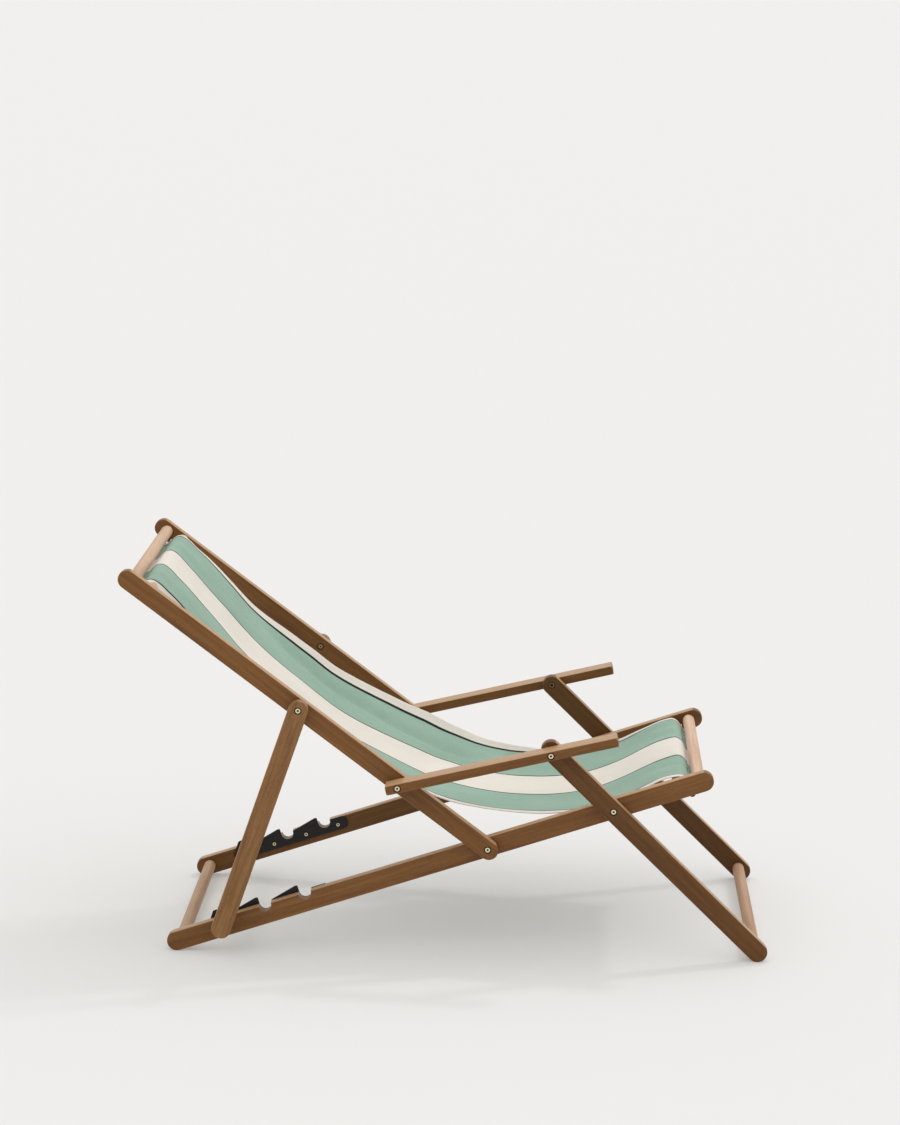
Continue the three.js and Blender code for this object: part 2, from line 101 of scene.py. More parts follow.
# %% The Wire class
class Wire:
    """One output socket of a shader tree, with the usual signs for sums."""

    def __init__(self, tree, socket=None):
        self.tree, self.socket = tree, socket

    def add(self, kind, settings=None, inputs=None, out=0):
        """Adds a node, applies its settings (a ramp's stops among them), fills its sockets."""
        node = self.tree.nodes.new(kind)
        for name, value in (settings or {}).items():
            if name == "stops":
                steps = node.color_ramp.elements
                steps[0].position, steps[-1].position = value[0][0], value[-1][0]
                for place, _ in value[1:-1]:
                    steps.new(place)
                for step, (_, colour) in zip(steps, value):
                    step.color = colour
            else:
                setattr(node, name, value)
        for key, value in (inputs or {}).items():
            if isinstance(value, Wire):
                self.tree.links.new(value.socket, node.inputs[key])
            else:
                node.inputs[key].default_value = value
        return Wire(self.tree, node.outputs[out] if node.outputs else None)

    def maths(self, operation, *values):
        return self.add("ShaderNodeMath", {"operation": operation}, dict(enumerate(values)))

    def __add__(self, other): return self.maths("ADD", self, other)
    def __radd__(self, other): return self.maths("ADD", other, self)
    def __sub__(self, other): return self.maths("SUBTRACT", self, other)
    def __rsub__(self, other): return self.maths("SUBTRACT", other, self)
    def __mul__(self, other): return self.maths("MULTIPLY", self, other)
    def __rmul__(self, other): return self.maths("MULTIPLY", other, self)
    def __truediv__(self, other): return self.maths("DIVIDE", self, other)
    def __gt__(self, other): return self.maths("GREATER_THAN", self, other)
    def __abs__(self): return self.maths("ABSOLUTE", self)

    def ease(self, low, high):
        """0 below low, 1 above high, an S-curve between."""
        return self.add("ShaderNodeMapRange", {"interpolation_type": "SMOOTHSTEP"},
                        {"Value": self, "From Min": low, "From Max": high})

    def mix(self, first, second):
        """Colour first where this wire is 0, second where it is 1."""
        return self.add("ShaderNodeMix", {"data_type": "RGBA"}, {0: self, 6: first, 7: second}, out=2)

    def stretch(self, factors):
        """A vector wire, scaled along each of its axes."""
        return self.add("ShaderNodeVectorMath", {"operation": "MULTIPLY"}, {0: self, 1: factors})

    def part(self, axis):
        """One of the X, Y and Z parts of a vector wire."""
        return self.add("ShaderNodeSeparateXYZ", None, {0: self}, out=axis)

    def reach(self, x, z):
        """How far a place is from the line across the chair through (x, z)."""
        off = self.add("ShaderNodeVectorMath", {"operation": "SUBTRACT"}, {0: self, 1: (x, 0, z)})
        return self.add("ShaderNodeVectorMath", {"operation": "LENGTH"}, {0: off.stretch((1, 0, 1))},
                        out="Value")

    def noise(self, factors, seed, detail=2.0, rough=0.5, twist=0.0):
        """Soft noise from 0 to 1, with its cells per metre along each axis."""
        return self.add("ShaderNodeTexNoise", {"noise_dimensions": "4D"}, {
            "Vector": self.stretch(factors), "W": seed, "Scale": 1.0, "Detail": detail,
            "Roughness": rough, "Distortion": twist})

    def ramp(self, *stops):
        """Colours at given values, blended between."""
        return self.add("ShaderNodeValToRGB", {"stops": stops}, {0: self})


def rgb(red, green, blue):
    """A screen colour (0 to 255) as the linear colour that a shader needs."""
    c = np.array([red, green, blue]) / 255
    linear = np.where(c <= 0.04045, c / 12.92, ((c + 0.055) / 1.055) ** 2.4)
    return (*linear.tolist(), 1.0)


def new_material(name):
    """An empty node material and the Wire that starts in it."""
    material = bpy.data.materials.new(name)
    material.use_nodes = True
    material.node_tree.nodes.clear()
    return material, Wire(material.node_tree)


def surface(wire, colour, roughness, height=None, depth=0.0, **constants):
    """Joins colour, roughness and a height in metres to a Principled shader and the output."""
    inputs = {"Base Color": colour, "Roughness": roughness}
    inputs.update({name.replace("_", " "): value for name, value in constants.items()})
    if height is not None:
        inputs["Normal"] = wire.add("ShaderNodeBump", None,
                                    {"Strength": 1.0, "Distance": depth, "Height": height})
    shader = wire.add("ShaderNodeBsdfPrincipled", None, inputs)
    wire.add("ShaderNodeOutputMaterial", None, {"Surface": shader})


print("shader helpers ready; mid grey in linear light:", round(rgb(128, 128, 128)[0], 3))

# %% [markdown]
# ## Floor and light
# The chair stands in a plain pale studio. One wide floor plane runs far past the horizon, so the
# background has a single tone. Three plain lights do the rest: an even sky, a broad soft light from
# above, and a smaller key light behind the chair's front that gives the floor its readable shadow.
# Sun lamps are used because they light a wide floor evenly.

# %% Floor and lights
FLOOR_HALF = 400.0
SKY_FRONT, SKY_BACK = 0.42, 0.84
TOP_LIGHT, TOP_SPREAD = 1.50, 100.0
KEY_LIGHT, KEY_SPREAD = 0.42, 5.2
KEY_FROM, TOP_FROM = (0.53, 0.56, 1.0), (0.1, -0.18, 1.0)
FLOOR_GLOW = 0.29


def sun(name, strength, spread, towards):
    """A sun lamp: strength in watts a square metre, spread in degrees, and the way to the lamp."""
    lamp = bpy.data.lights.new(name, "SUN")
    lamp.energy, lamp.angle = strength, math.radians(spread)
    holder = bpy.data.objects.new(name, lamp)
    holder.rotation_euler = Vector(towards).to_track_quat("Z", "Y").to_euler()
    bpy.context.scene.collection.objects.link(holder)


sun("key_light", KEY_LIGHT, KEY_SPREAD, KEY_FROM)
sun("top_light", TOP_LIGHT, TOP_SPREAD, TOP_FROM)

world = bpy.data.worlds.new("studio")
bpy.context.scene.world = world
world.use_nodes = True
world.node_tree.nodes.clear()
wire = Wire(world.node_tree)
way = wire.add("ShaderNodeTexCoord", None, None, out="Generated")
depth = way.part("Y").ease(-1.0, 1.0)
sky = wire.add("ShaderNodeBackground", None, {
    "Color": rgb(250, 249, 249), "Strength": depth * (SKY_BACK - SKY_FRONT) + SKY_FRONT})
wire.add("ShaderNodeOutputWorld", None, {"Surface": sky})
bpy.context.scene.view_settings.view_transform = "Standard"

floor_mesh = bpy.data.meshes.new("floor")
floor_mesh.from_pydata([(x * FLOOR_HALF, y * FLOOR_HALF, 0) for x, y in
                        ((-1, -1), (1, -1), (1, 1), (-1, 1))], [], [(0, 1, 2, 3)])
floor = bpy.data.objects.new("floor", floor_mesh)
bpy.context.scene.collection.objects.link(floor)
floor_finish, wire = new_material("floor_paper")
surface(wire, rgb(192, 191, 190), 0.95, Specular_IOR_Level=0.1,
        Emission_Color=rgb(240, 239, 235), Emission_Strength=FLOOR_GLOW)
floor_mesh.materials.append(floor_finish)
print("floor and", len(bpy.data.lights), "lamps placed")

# %% [markdown]
# ## Stained hardwood
# The boards are planed hardwood under a dark brown stain and a thin satin finish. Close up one sees
# long streaks from the growth rings, fine fibres, short dark pores that took up more stain, and pale
# arrises: partly stain that handling has worn thin, partly a painted highlight along the edge. All
# of it follows the board, so every board gets its own grain space: x along the board, y through its
# thickness, z across its width. The pale arris is where a point is near the edge in both thickness
# and width. The edge that looks up gets a stronger painted highlight, and the round pockets of the
# bolts are painted near black as shade.

# %% The grain space of a board
def board_frame(node, start, end):
    """Angle, middle and half sizes (length, thickness, width) of a board that runs start to end."""
    run = centre(end) - centre(start)
    angle = math.atan2(run[2], run[0])
    points = np.empty(len(nodes[node].data.vertices) * 3)
    nodes[node].data.vertices.foreach_get("co", points)
    x, y, z = points.reshape(-1, 3).T
    along, across = x * math.cos(angle) + z * math.sin(angle), z * math.cos(angle) - x * math.sin(angle)
    spans = [(v.min(), v.max()) for v in (along, y, across)]
    (mid_along, mid_y, mid_across), half = np.mean(spans, axis=1), np.ptp(spans, axis=1) / 2
    middle = (mid_along * math.cos(angle) - mid_across * math.sin(angle), mid_y,
              mid_along * math.sin(angle) + mid_across * math.cos(angle))
    return angle, middle, half


def grain_space(wire, middle, turn):
    """Object coordinates moved to the middle of a piece and turned until x runs along its grain."""
    place = wire.add("ShaderNodeTexCoord", None, None, out="Object")
    return wire.add("ShaderNodeMapping", {"vector_type": "TEXTURE"},
                    {"Vector": place, "Location": middle, "Rotation": turn})


# %% The stained wood material
# Near black, painted as shade in the bolt pockets of the boards and in the sockets and sunk rims of the
# metal heads.
PAINTED_SHADE = rgb(16, 14, 12)
STAIN_DARK, STAIN_MID, STAIN_LIGHT = rgb(96, 62, 31), rgb(123, 82, 42), rgb(142, 99, 54)
# Pore colour, the pale arris colour (worn stain and painted highlight), and the painted highlight of
# the upper edge.
STAIN_PORE, STAIN_WORN_AND_HIGHLIT, STAIN_TOP_HIGHLIGHT = rgb(56, 33, 15), rgb(182, 136, 94), rgb(196, 158, 118)
POCKET_RADIUS, POCKET_SOFT = 0.0069, 0.0008
# Depth of the painted highlight along the upper edge, and how strongly it shows.
TOP_HIGHLIGHT_DEPTH, TOP_HIGHLIGHT_SHARE = 0.0012, 0.72


def stained_wood(name, angle, middle, half, seed, tone, pockets):
    """Streaks, fibres and pores as noise stretched along the grain, pale arrises (stain worn thin and
    a painted highlight), a painted highlight on the upper edge, and painted shade, near black, in the
    round pockets (x, z) of the bolts."""
    material, wire = new_material(name)
    spot = wire.add("ShaderNodeTexCoord", None, None, out="Object")
    place = grain_space(wire, middle, (0, -angle, 0))
    figure = place.noise((5, 120, 120), seed, detail=5, rough=0.62, twist=0.6)
    broad = place.noise((2.2, 22, 22), seed + 7, detail=2)
    fibre = place.noise((26, 900, 900), seed + 3, detail=3)
    pores = place.noise((120, 2400, 2400), seed + 5, detail=1).ease(0.60, 0.70)
    # tone is each board's own tone, times a painted shade on the left boards.
    stain = [(*(np.array(colour[:3]) * tone).tolist(), 1.0)
             for colour in (STAIN_DARK, STAIN_MID, STAIN_LIGHT)]
    stained = (figure * 0.5 + broad * 0.3 + fibre * 0.2).ramp(*zip((0.34, 0.50, 0.66), stain))
    parts = [place.part(axis) for axis in "XYZ"]
    beyond = wire.maths("MAXIMUM", abs(parts[0]) - float(half[0] - half[2]), 0.0)
    reach = wire.maths("SQRT", beyond * beyond + parts[2] * parts[2])
    arris = wire.maths("MINIMUM", reach / float(half[2]), abs(parts[1]) / float(half[1]))
    # Pale arris: partly stain worn thin, partly a painted highlight where the edge catches the light.
    worn_and_highlit = (arris + place.noise((18, 60, 60), seed + 9) * 0.05).ease(0.93, 1.01)
    # The upper edge of each board gets a brighter painted highlight.
    upward = math.copysign(1, math.cos(angle))
    upper = parts[2] * upward + place.noise((40, 90, 90), seed + 11) * (TOP_HIGHLIGHT_DEPTH / 2)
    top_highlight = upper.ease(float(half[2]) - TOP_HIGHLIGHT_DEPTH, float(half[2])) * TOP_HIGHLIGHT_SHARE
    colour = top_highlight.mix((worn_and_highlit * 0.5).mix(stained, STAIN_WORN_AND_HIGHLIT), STAIN_TOP_HIGHLIGHT)
    colour = (pores * 0.55).mix(colour, STAIN_PORE)
    # Painted shade: near black in the round pocket round each bolt head.
    for x, z in pockets:
        colour = spot.reach(x, z).ease(POCKET_RADIUS, POCKET_RADIUS + POCKET_SOFT).mix(PAINTED_SHADE, colour)
    surface(wire, colour, 0.25 + fibre * 0.14 + pores * 0.1,
            fibre * 0.6 + figure * 0.4 - pores * 0.5, 0.00022, Specular_IOR_Level=0.22)
    return material


# %% [markdown]
# ## Rounded arrises by shading
# The CAD boards have a small chamfer on every edge, stored as loose triangles. Three modifiers make
# it read as a hand-rounded arris without moving a vertex: Weld joins the triangles, a tiny node group
# smooths every edge that is not a real corner, and Weighted Normal keeps the big faces flat, so that
# only the chamfer carries the turn of the light.

# %% The soft edge modifiers
def smooth_by_angle(limit):
    """A node group that shades smooth, but keeps edges sharper than limit (degrees) as corners."""
    group = bpy.data.node_groups.new("soft_edges", "GeometryNodeTree")
    group.interface.new_socket("Geometry", in_out="INPUT", socket_type="NodeSocketGeometry")
    group.interface.new_socket("Geometry", in_out="OUTPUT", socket_type="NodeSocketGeometry")
    kinds = ("NodeGroupInput", "GeometryNodeSetShadeSmooth", "GeometryNodeSetShadeSmooth",
             "NodeGroupOutput", "GeometryNodeInputMeshEdgeAngle", "FunctionNodeCompare")
    source, faces, edges, result, bend, compare = (group.nodes.new(kind) for kind in kinds)
    edges.domain = "EDGE"
    compare.operation = "LESS_THAN"
    compare.inputs["B"].default_value = math.radians(limit)
    for out, into in ((source.outputs[0], faces.inputs["Geometry"]),
                      (faces.outputs[0], edges.inputs["Geometry"]),
                      (bend.outputs["Unsigned Angle"], compare.inputs["A"]),
                      (compare.outputs[0], edges.inputs["Shade Smooth"]),
                      (edges.outputs[0], result.inputs[0])):
        group.links.new(out, into)
    return group


soft_edges = smooth_by_angle(50)


def soften(node):
    """Weld, smooth and weigh the normals of one CAD node."""
    piece = nodes[node]
    piece.modifiers.new("weld", "WELD").merge_threshold = 0.00001
    piece.modifiers.new("soft_edges", "NODES").node_group = soft_edges
    weigh = piece.modifiers.new("weigh", "WEIGHTED_NORMAL")
    weigh.keep_sharp, weigh.weight = True, 80


def dress(node, material):
    """Gives a CAD node its finish and its soft edges."""
    nodes[node].data.materials.clear()
    nodes[node].data.materials.append(material)
    soften(node)


# %% Stain the ten boards
BOARD_RUNS = {
    "seat_rail": ("rung_rear", "rung_front"), "back_rail": ("bolt_back_l", "rung_top"),
    "leg": ("rung_foot", "bolt_arm_front_l"), "prop_strut": ("rung_prop", "bolt_prop_l"),
    "armrest": ("bolt_arm_rear_l", "bolt_arm_front_l"),
}
BOARD_TONES = {"leg": (0.68, 0.66, 0.62), "prop_strut": (1.40, 1.60, 2.10),
               "back_rail": (1.08, 1.08, 1.1)}
BOLTS = [f"bolt_{name}_r" for name in ("back", "leg", "prop", "arm_rear", "arm_front")]
# The boards on the left side are painted darker: painted shade, standing in for the canvas's shadow on
# them.
LEFT_SHADE = 0.82
for number, (board, (start, end)) in enumerate(BOARD_RUNS.items()):
    for side in SIDES:
        node = f"{board}_{side}"
        angle, middle, half = board_frame(node, start, end)
        low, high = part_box(node)
        pockets = [(float(x), float(z)) for x, y, z in map(centre, BOLTS)
                   if low[0] < x < high[0] and low[2] < z < high[2]]
        dress(node, stained_wood(f"stained_{node}", angle, middle, half,
                                 2.3 * number + (11.7 if side == "r" else 0),
                                 np.array(BOARD_TONES.get(board, (1, 1, 1)))
                                 * (LEFT_SHADE if side == "l" else 1), pockets))
        print(f"{node}: {half[0] * 2:.3f} m long, {math.degrees(angle):.1f} degrees from level")

# %% [markdown]
# ## Turned rungs
# The rungs are pale turned beech. A lathe makes a round body, softens the shoulder at each end, and
# cuts a thinner tenon that is glued into a blind hole. So the surface is a profile turned about a
# straight axis: radius as a function of the distance along it. The lathe leaves very faint rings.

# %% Grids and turned surfaces
def skin(name, grid, wrap_round=False, caps=False):
    """A mesh object from a grid of points (along, round, xyz); caps close its first and last row."""
    rows, columns = grid.shape[:2]
    index = np.arange(rows * columns).reshape(rows, columns)
    here, after = index[:-1], index[1:]
    if wrap_round:
        corners = (here, np.roll(here, -1, 1), np.roll(after, -1, 1), after)
    else:
        corners = (here[:, :-1], here[:, 1:], after[:, 1:], after[:, :-1])
    faces = np.stack([c.ravel() for c in corners], 1).tolist()
    if caps:
        faces += [index[0, ::-1].tolist(), index[-1].tolist()]
    mesh = bpy.data.meshes.new(name)
    mesh.from_pydata(grid.reshape(-1, 3), [], faces)
    mesh.polygons.foreach_set("use_smooth", np.ones(len(faces), bool))
    piece = bpy.data.objects.new(name, mesh)
    bpy.context.scene.collection.objects.link(piece)
    return piece


def turned(name, middle, y, radius, around=48):
    """Point = middle + (radius cos a, y, radius sin a), for a once round the axis along Y."""
    a = -np.linspace(0, 2 * np.pi, around, endpoint=False)
    grid = np.empty((len(y), around, 3))
    grid[..., 0] = middle[0] + np.outer(radius, np.cos(a))
    grid[..., 1] = middle[1] + np.asarray(y)[:, None]
    grid[..., 2] = middle[2] + np.outer(radius, np.sin(a))
    piece = skin(name, grid, wrap_round=True, caps=True)
    piece.data.set_sharp_from_angle(angle=math.radians(50))
    return piece


# %% The pale wood and the seven rungs
BEECH_LIGHT, BEECH_MID, BEECH_DARK = rgb(216, 185, 158), rgb(200, 166, 138), rgb(176, 138, 110)
BEECH_FLECK = rgb(150, 112, 84)


def pale_wood(name, middle, seed, shade):
    """Even pale wood: soft streaks, fine fibres, the short dark flecks of beech, faint lathe rings, all
    multiplied by shade, the painted light and shade of each rung.
    """
    material, wire = new_material(name)
    place = grain_space(wire, middle, (0, 0, math.pi / 2))
    streak = place.noise((4, 130, 130), seed, detail=4, rough=0.6, twist=0.3)
    fibre = place.noise((30, 1100, 1100), seed + 3, detail=2)
    flecks = place.noise((150, 1500, 1500), seed + 5, detail=0).ease(0.66, 0.74)
    handled = place.noise((3, 8, 8), seed + 8, detail=2)
    tone = (streak * 0.55 + fibre * 0.15 + handled * 0.3).ramp(
        (0.36, BEECH_DARK), (0.50, BEECH_MID), (0.64, BEECH_LIGHT))
    rings = wire.add("ShaderNodeTexWave", {"wave_type": "BANDS", "bands_direction": "X"},
                     {"Vector": place, "Scale": 90.0, "Distortion": 0.6})
    # The colour times shade: painted light and shade for this rung.
    worn = wire.add("ShaderNodeMix", {"data_type": "RGBA", "blend_type": "MULTIPLY"},
                    {0: 1.0, 6: (flecks * 0.4).mix(tone, BEECH_FLECK), 7: (*shade, 1.0)}, out=2)
    surface(wire, worn, 0.5 + fibre * 0.12,
            fibre * 0.6 + rings * 0.25, 0.00012, Specular_IOR_Level=0.45)
    return material


TENON_R, TENON_LEN, SHOULDER = 0.008, 0.012, 0.0012


def rung(node, body, seed, shade):
    """The profile: tenon with a chamfered end, square shoulder with a softened edge, long body."""
    low, high = (np.array(c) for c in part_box(node))
    middle, half, radius = (low + high) / 2, (high[1] - low[1]) / 2, (high[2] - low[2]) / 2
    soft = np.linspace(0, np.pi / 2, 5)
    body_end = half - TENON_LEN
    y = np.concatenate(([half, half - 0.001, body_end], body_end - SHOULDER * (1 - np.cos(soft))))
    r = np.concatenate(([TENON_R - 0.001, TENON_R, TENON_R], radius - SHOULDER * (1 - np.sin(soft))))
    waves = np.linspace(body_end - 0.004, 0.006, 24)
    y = np.concatenate((y, waves))
    r = np.concatenate((r, radius + 0.00006 * np.sin(waves * 310 + seed)))
    y, r = np.concatenate((-y, y[::-1])), np.concatenate((r, r[::-1]))
    piece = turned(f"turned_{node}", middle, y, r)
    piece.data.materials.append(pale_wood(f"beech_{node}", tuple(middle), seed, shade))
    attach(piece, body)
    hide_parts(node)
    print(f"{node}: {2 * half:.3f} m long, {2 * radius / MM:.1f} mm thick")


RUNG_BODIES = {
    "rung_rear": "seat_frame", "rung_front": "seat_frame", "rung_seat_sling": "seat_frame",
    "rung_top": "back_frame", "rung_back_sling": "back_frame", "rung_foot": "leg_frame",
    "rung_prop": "prop_frame",
}
# Painted light and shade per rung: the foot and rear rungs are painted darker as shade, the front rung
# lighter as if more lit.
RUNG_LIGHT_AND_SHADE = {"rung_foot": (0.74, 0.65, 0.57), "rung_rear": (0.82, 0.77, 0.70),
               "rung_front": (1.12, 1.14, 1.2)}
for number, (node, body) in enumerate(RUNG_BODIES.items()):
    rung(node, body, 3.1 * number + 1, RUNG_LIGHT_AND_SHADE.get(node, (1.0, 1.0, 1.0)))

# %% [markdown]
# ## Metal and plastic
# The notched racks are cut from black coated steel: nearly matt, a little uneven, with paler worn
# patches here and there. The bolts and screws are pale brass with fine turning marks; their nuts are
# a darker copy of that brass, painted darker as shade. The steel rods in the sling's sleeves end in
# moulded black caps. Each is the same recipe with other colours: a base, a fine noise for the finish,
# and a mask for wear. In the sockets and round the sunk rims of the heads the metal is painted
# near black as shade.

# %% Metal and plastic materials
def metal(name, clean, worn, roughness, metallic, seed, grain=(900, 900, 900), ring=None):
    """Clean colour, a worn colour in noisy patches, and fine grain in roughness and height. With a
    ring (x, z, inner, rim) only the metal between those distances from that line keeps its colour,
    and the rest, socket and sunk rim, is painted near black as shade."""
    material, wire = new_material(name)
    place = grain_space(wire, (0, 0, 0), (0, 0, 0))
    fine = place.noise(grain, seed, detail=2)
    patch = place.noise((160, 160, 160), seed + 4, detail=4, rough=0.7).ease(0.58, 0.72)
    colour = (patch * 0.6).mix(clean, worn)
    # Outside the ring, in the socket and the sunk rim, the metal is painted near black as shade.
    if ring:
        x, z, inner, rim = ring
        reach = place.reach(x, z)
        unshaded = reach.ease(inner - 0.0002, inner + 0.0004) * (1 - reach.ease(rim, rim + 0.0007))
        colour = unshaded.mix(PAINTED_SHADE, colour)
    surface(wire, colour, roughness + fine * 0.16 + patch * 0.08, fine, 0.00006, Metallic=metallic)
    return material


rack_metal = metal("black_coated_steel", rgb(34, 33, 33), rgb(92, 90, 88), 0.42, 0.35, 1)
steel = metal("plain_steel", rgb(120, 116, 110), rgb(74, 66, 58), 0.36, 1.0, 3)
plastic = metal("black_plastic", rgb(24, 24, 25), rgb(48, 47, 46), 0.48, 0.0, 4)
BRASS = dict(clean=rgb(236, 224, 190), worn=rgb(190, 168, 120), roughness=0.24, metallic=1.0, seed=2,
             grain=(300, 2500, 300))
# The nuts use a darker copy of the brass: painted shade.
SHADED_BRASS = dict(BRASS, clean=rgb(150, 128, 88), worn=rgb(92, 76, 52), seed=6)
BOLT_RING, SCREW_RING, NUT_RING = (0.0021, 0.0046), (0.0017, 0.0034), (0.0026, 0.0050)
FASTENINGS = (("rack_screw", BRASS, SCREW_RING), ("bolt_", BRASS, BOLT_RING),
              ("nut_", SHADED_BRASS, NUT_RING))
for node in nodes:
    x, y, z = centre(node).tolist()
    for start, look, ring in FASTENINGS:
        if node.startswith(start):
            dress(node, metal(f"brass_{node}", ring=(x, z, *ring), **look))
    if node in ("rack_l", "rack_r"):
        dress(node, rack_metal)
    elif node in ("rod_back", "rod_seat"):
        dress(node, steel)
    elif node.startswith("rod_cap"):
        dress(node, plastic)
print("finished the racks, screws, bolts, nuts, rods and caps")

# %% [markdown]
# ## The line of the sling
# The canvas hangs like a hammock. Seen from the side its middle is one line: round the upper rod,
# up between two rungs, over the sling rung, down the back in a long curve, across the seat, over the
# front sling rung and round the lower rod. The line is given by points measured along each rail and
# above it, and a smooth curve is laid through them. Cubic pieces whose slopes come from the
# neighbouring points keep it smooth even though the points are far apart on the back and close
# together round the rods.

# %% A smooth line through points
def smooth_line(points, fine=24):
    """Cubic Hermite curve through points; each slope is the mean of its two chords, by length."""
    points = np.asarray(points, float)
    step = np.linalg.norm(np.diff(points, axis=0), axis=1)[:, None]
    chord = np.diff(points, axis=0) / step
    inner = (chord[:-1] * step[1:] + chord[1:] * step[:-1]) / (step[1:] + step[:-1])
    slope = np.vstack((chord[:1], inner, chord[-1:]))
    t = np.linspace(0, 1, fine, endpoint=False)[None, :, None]
    a, b, sa, sb = points[:-1, None], points[1:, None], slope[:-1, None], slope[1:, None]
    h = step[:, None]
    curve = ((2 * t**3 - 3 * t**2 + 1) * a + (t**3 - 2 * t**2 + t) * h * sa
             + (3 * t**2 - 2 * t**3) * b + (t**3 - t**2) * h * sb)
    return np.vstack((curve.reshape(-1, points.shape[1]), points[-1:]))


def evenly(line, step, turn_step):
    """Places along a line, step apart where it is straight and nearer where it turns.
    The spacing follows the running total of length / step + angle turned / turn_step."""
    edge = np.diff(line, axis=0)
    length = np.linalg.norm(edge, axis=1)
    heading = np.unwrap(np.arctan2(edge[:, 1], edge[:, 0]))
    turned_by = np.abs(np.gradient(heading))
    cost = np.concatenate(([0], np.cumsum(length / step + turned_by / turn_step)))
    at = np.interp(np.linspace(0, cost[-1], int(cost[-1]) + 2), cost, np.arange(len(line)))
    return np.stack([np.interp(at, np.arange(len(line)), line[:, k]) for k in (0, 1)], 1)


# %% The middle line of the canvas
def on_rail(origin, towards, points):
    """Points (distance along a rail, height above it towards the sitter), in mm, to metres (x, z)."""
    run = (towards - origin) / np.linalg.norm(towards - origin)
    up = np.array([-run[1], run[0]])
    up = up if up[1] > 0 else -up
    s, n = np.asarray(points, float).T * MM
    return origin + np.outer(s, run) + np.outer(n, up)


def side(node):
    """The middle of a CAD node's box, seen from the side: (x, z)."""
    return centre(node)[[0, 2]]


pivot = side("bolt_back_l")
seat_start = side("rung_rear")
REAR_INSET = 10       # the rear rung sits this far inside the end of the rail, in mm
ROD_SLEEVE_R = 7.6    # the canvas's middle surface round a rod and its caps, in mm
BACK_SAG = [(840, 18.0), (818, 14), (790, 9.5), (760, 3), (729, -4), (698, -11), (638, -25),
            (581, -34), (528, -38), (476, -39), (425, -40), (376, -39), (329, -34), (285, -27),
            (240, -19), (196, -10), (154, 0), (115, 14), (76, 30), (40, 48)]
SEAT_SAG = [(716, 43), (754, 29), (792, 17), (831, 8), (871, 2), (913, 1), (956, 5), (1001, 13),
            (1030, 17.5)]
sleeve_turn = np.radians(np.array([42, 15, -15, -45, -75, -105, -135, -165, -195, -222]))


def sleeve(s, n):
    """The flap end, down beside the middle line, and once round the rod, seen along +Y."""
    ring = np.stack((s + ROD_SLEEVE_R * np.cos(sleeve_turn), n + ROD_SLEEVE_R * np.sin(sleeve_turn)), 1)
    return [(s + 1.5, n + 22), (s + 1.6, n + 14), *map(tuple, ring), (s - 0.4, n + 14)]


BACK_ROD, SEAT_ROD = (868.7, -22.5), (1085.7, -22.5)
back_end = sleeve(*BACK_ROD) + [(869.0, 0), (867.3, 7), (863.5, 13), (858, 16.9), (850, 18.4)]
seat_end = sleeve(*SEAT_ROD) + [(1086.2, -2), (1085.0, 5), (1081.0, 12), (1075, 16.9), (1066, 18.6),
                                (1052, 18.8)]
seat_points = np.array(SEAT_SAG + seat_end[::-1]) - (REAR_INSET, 0)
control = np.vstack((on_rail(pivot, side("rung_top"), back_end + BACK_SAG),
                     on_rail(seat_start, side("rung_front"), seat_points)))
middle_line = evenly(smooth_line(control), 0.008, math.radians(9))
along = np.concatenate(([0], np.cumsum(np.linalg.norm(np.diff(middle_line, axis=0), axis=1))))
print(f"the canvas is {along[-1]:.3f} m long in {len(along)} rows")

# %% [markdown]
# ## From line to cloth
# Across the chair the cloth is not flat: its long edges are tight and stand higher than the middle,
# most of all where the back curves, and not at all over the rungs, which hold it straight. As the
# edges climb they also draw in a little, because woven cloth doesn't stretch. On top of that come
# the small things that make cloth look like cloth: soft buckles along the back, short tension folds
# that fan out from the rungs, and the folded hems. A hem is the same sheet, turned round a tight
# half circle and laid back under itself, so the whole sling stays one surface.

# %% The surface of the cloth
HALF_WIDTH, HEM, FOLD_R, CLOTH = 0.238, 0.018, 0.00062, 0.0009
# At places along X: how much the edges lift, and how much more the left one does than the right.
LIFT_AT = np.array([-0.597, -0.557, -0.517, -0.477, -0.437, -0.397, -0.357, -0.317, -0.277, -0.237,
                    -0.197, -0.157, -0.117, -0.077, -0.037, 0.003, 0.043, 0.083, 0.123, 0.163,
                    0.203, 0.243, 0.283, 0.323, 0.363, 0.403, 0.443, 0.475])
LIFT = np.array([0, 2.1, 5.1, 7.6, 10.6, 13.9, 16.9, 19.5, 20.5, 23.2, 24.4, 24.9, 24, 22.8, 20.7,
                 18.2, 15.5, 12.9, 12, 11.6, 11, 9, 7, 4.5, 1.8, 2.6, 3, 0]) * MM
TILT = np.array([0, 2.1, 2.6, 3.2, 3.3, 3.6, 3.9, 3.9, 4, 5, 6.1, 7.1, 8, 9.1, 8.5, 7.7, 5.8, 5,
                 4.2, 4.2, 3.7, 2.4, 0.9, -1.3, -2.7, -1.2, 0, 0]) * MM
# How far the right hem's edge falls below its strip's start, and how far the left one's rises.
DROP_AT = np.array([-0.60, -0.57, -0.52, -0.47, -0.43, -0.39, -0.34, -0.29, -0.24, -0.17])
DROP = np.array([0, 9, 13, 9, 2, -5, -8, -8, -5, 0]) * MM
RISE_AT = np.array([-0.50, -0.43, -0.32, -0.216, -0.112, -0.04, 0.02, 0.10, 0.15, 0.20, 0.30])
RISE = np.array([0, 3, 6, 5.5, 6, 8, 9, 9, 5, 1.5, 0]) * MM
RISE_SOFT = 0.002


def window(value, low, high, soft):
    """1 between low and high, falling to 0 over soft on both sides, along an S-curve."""
    t = np.clip(np.minimum(value - low + soft, high + soft - value) / soft, 0, 1)
    return t * t * (3 - 2 * t)


BACK_TOP, SEAT_TOP = 0.075, along[-1] - 0.075
CREASE_DEPTH, CREASE_WIDTH = 0.0110, 0.019


